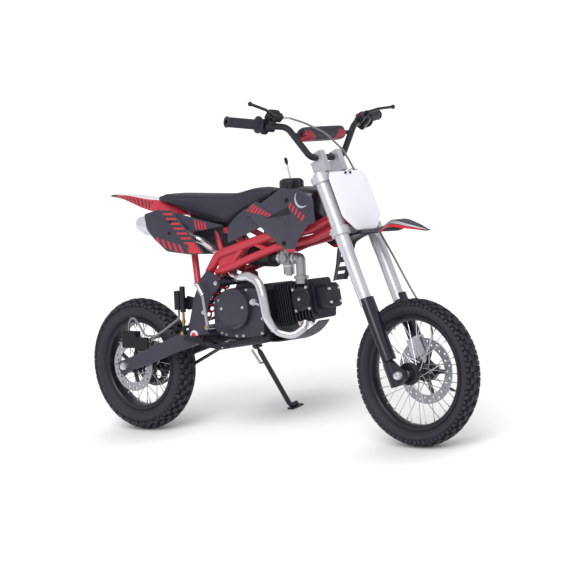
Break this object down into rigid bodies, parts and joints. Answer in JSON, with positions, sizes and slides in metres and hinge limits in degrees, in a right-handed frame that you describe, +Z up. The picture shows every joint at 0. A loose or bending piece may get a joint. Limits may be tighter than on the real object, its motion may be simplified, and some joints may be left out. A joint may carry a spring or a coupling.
{
  "type": "pit bike",
  "caption": "Small off-road motorcycle with knobbly tyres on wire wheels, upside-down fork, box swingarm, flat single engine and a side stand, leaning on the stand.",
  "frame": {"origin": "middle of the bike's footprint on the floor: the centre of its bounding box, at the height of the tyres' lowest lugs", "axes": "+X to the front wheel, +Y to the rider's left, +Z up; the bike leans to +Y on its side stand"},
  "size_m": [1.7439, 0.7868, 1.2101],
  "materials": {
    "painted_frame": "satin",
    "dark_metal": "satin",
    "engine_black": "satin",
    "silver": "satin",
    "steel": "brushed",
    "chrome": "polished",
    "black_plastic": "matte",
    "gloss_black": "gloss",
    "grey_plastic": "satin",
    "white_plastic": "gloss",
    "seat_cover": "matte",
    "rubber": "matte",
    "tyre": "matte"
  },
  "bodies": {
    "chassis": {"main_frame": "painted_frame", "pivot_plates": "dark_metal", "subframe": "painted_frame", "swingarm": "dark_metal", "rear_axle": "steel", "shock": "dark_metal", "engine_case": "engine_black", "engine_covers": "engine_black", "engine_cylinder": "engine_black", "intake_elbow": "silver", "carburettor": "silver", "air_filter": "rubber", "exhaust_pipe": "chrome", "muffler": "silver", "heat_shield": "silver", "chain": "steel", "front_sprocket": "steel", "fuel_tank": "black_plastic", "fuel_cap": "black_plastic", "seat": "seat_cover", "rear_fender": "white_plastic", "shrouds": "grey_plastic", "side_panels": "grey_plastic", "kick_lever": "chrome", "foot_pegs": "steel", "pedals": "engine_black", "rear_master": "engine_black", "rear_caliper": "dark_metal", "rear_brake_hose": "rubber", "skid_plate": "dark_metal"},
    "fork": {"fork_tubes": "silver", "fork_legs": "dark_metal", "fork_guards": "gloss_black", "fork_clamps": "silver", "bar_risers": "silver", "handlebar": "dark_metal", "bar_pad": "rubber", "grips": "rubber", "bar_controls": "engine_black", "number_plate": "white_plastic", "front_fender": "gloss_black", "front_caliper": "dark_metal", "front_axle": "steel", "front_brake_hose": "rubber"},
    "front_wheel": {"front_tyre": "tyre", "front_rim": "dark_metal", "front_hub": "dark_metal", "front_disc": "steel"},
    "rear_wheel": {"rear_tyre": "tyre", "rear_rim": "dark_metal", "rear_hub": "dark_metal", "rear_disc": "steel", "rear_sprocket": "dark_metal"},
    "stand": {"side_stand": "dark_metal"}
  },
  "joints": [
    {"name": "steering", "type": "hinge", "parent": "chassis", "child": "fork", "pos_m": [0.56603, -0.1589, 0.21805], "axis": [-0.3859, 0.1681, 0.9071], "range_deg": [-38, 38]},
    {"name": "front_spin", "type": "hinge", "parent": "fork", "child": "front_wheel", "pos_m": [0.626, -0.15432, 0.24272], "axis": [0, 0.9833, -0.1822], "continuous": true},
    {"name": "rear_spin", "type": "hinge", "parent": "chassis", "child": "rear_wheel", "pos_m": [-0.634, -0.15578, 0.23485], "axis": [0, 0.9833, -0.1822], "continuous": true},
    {"name": "stand_fold", "type": "hinge", "parent": "chassis", "child": "stand", "pos_m": [-0.21, -0.00665, 0.27128], "axis": [-0.0045, 0.9243, 0.3817], "range_deg": [0, 88.64]}
  ]
}
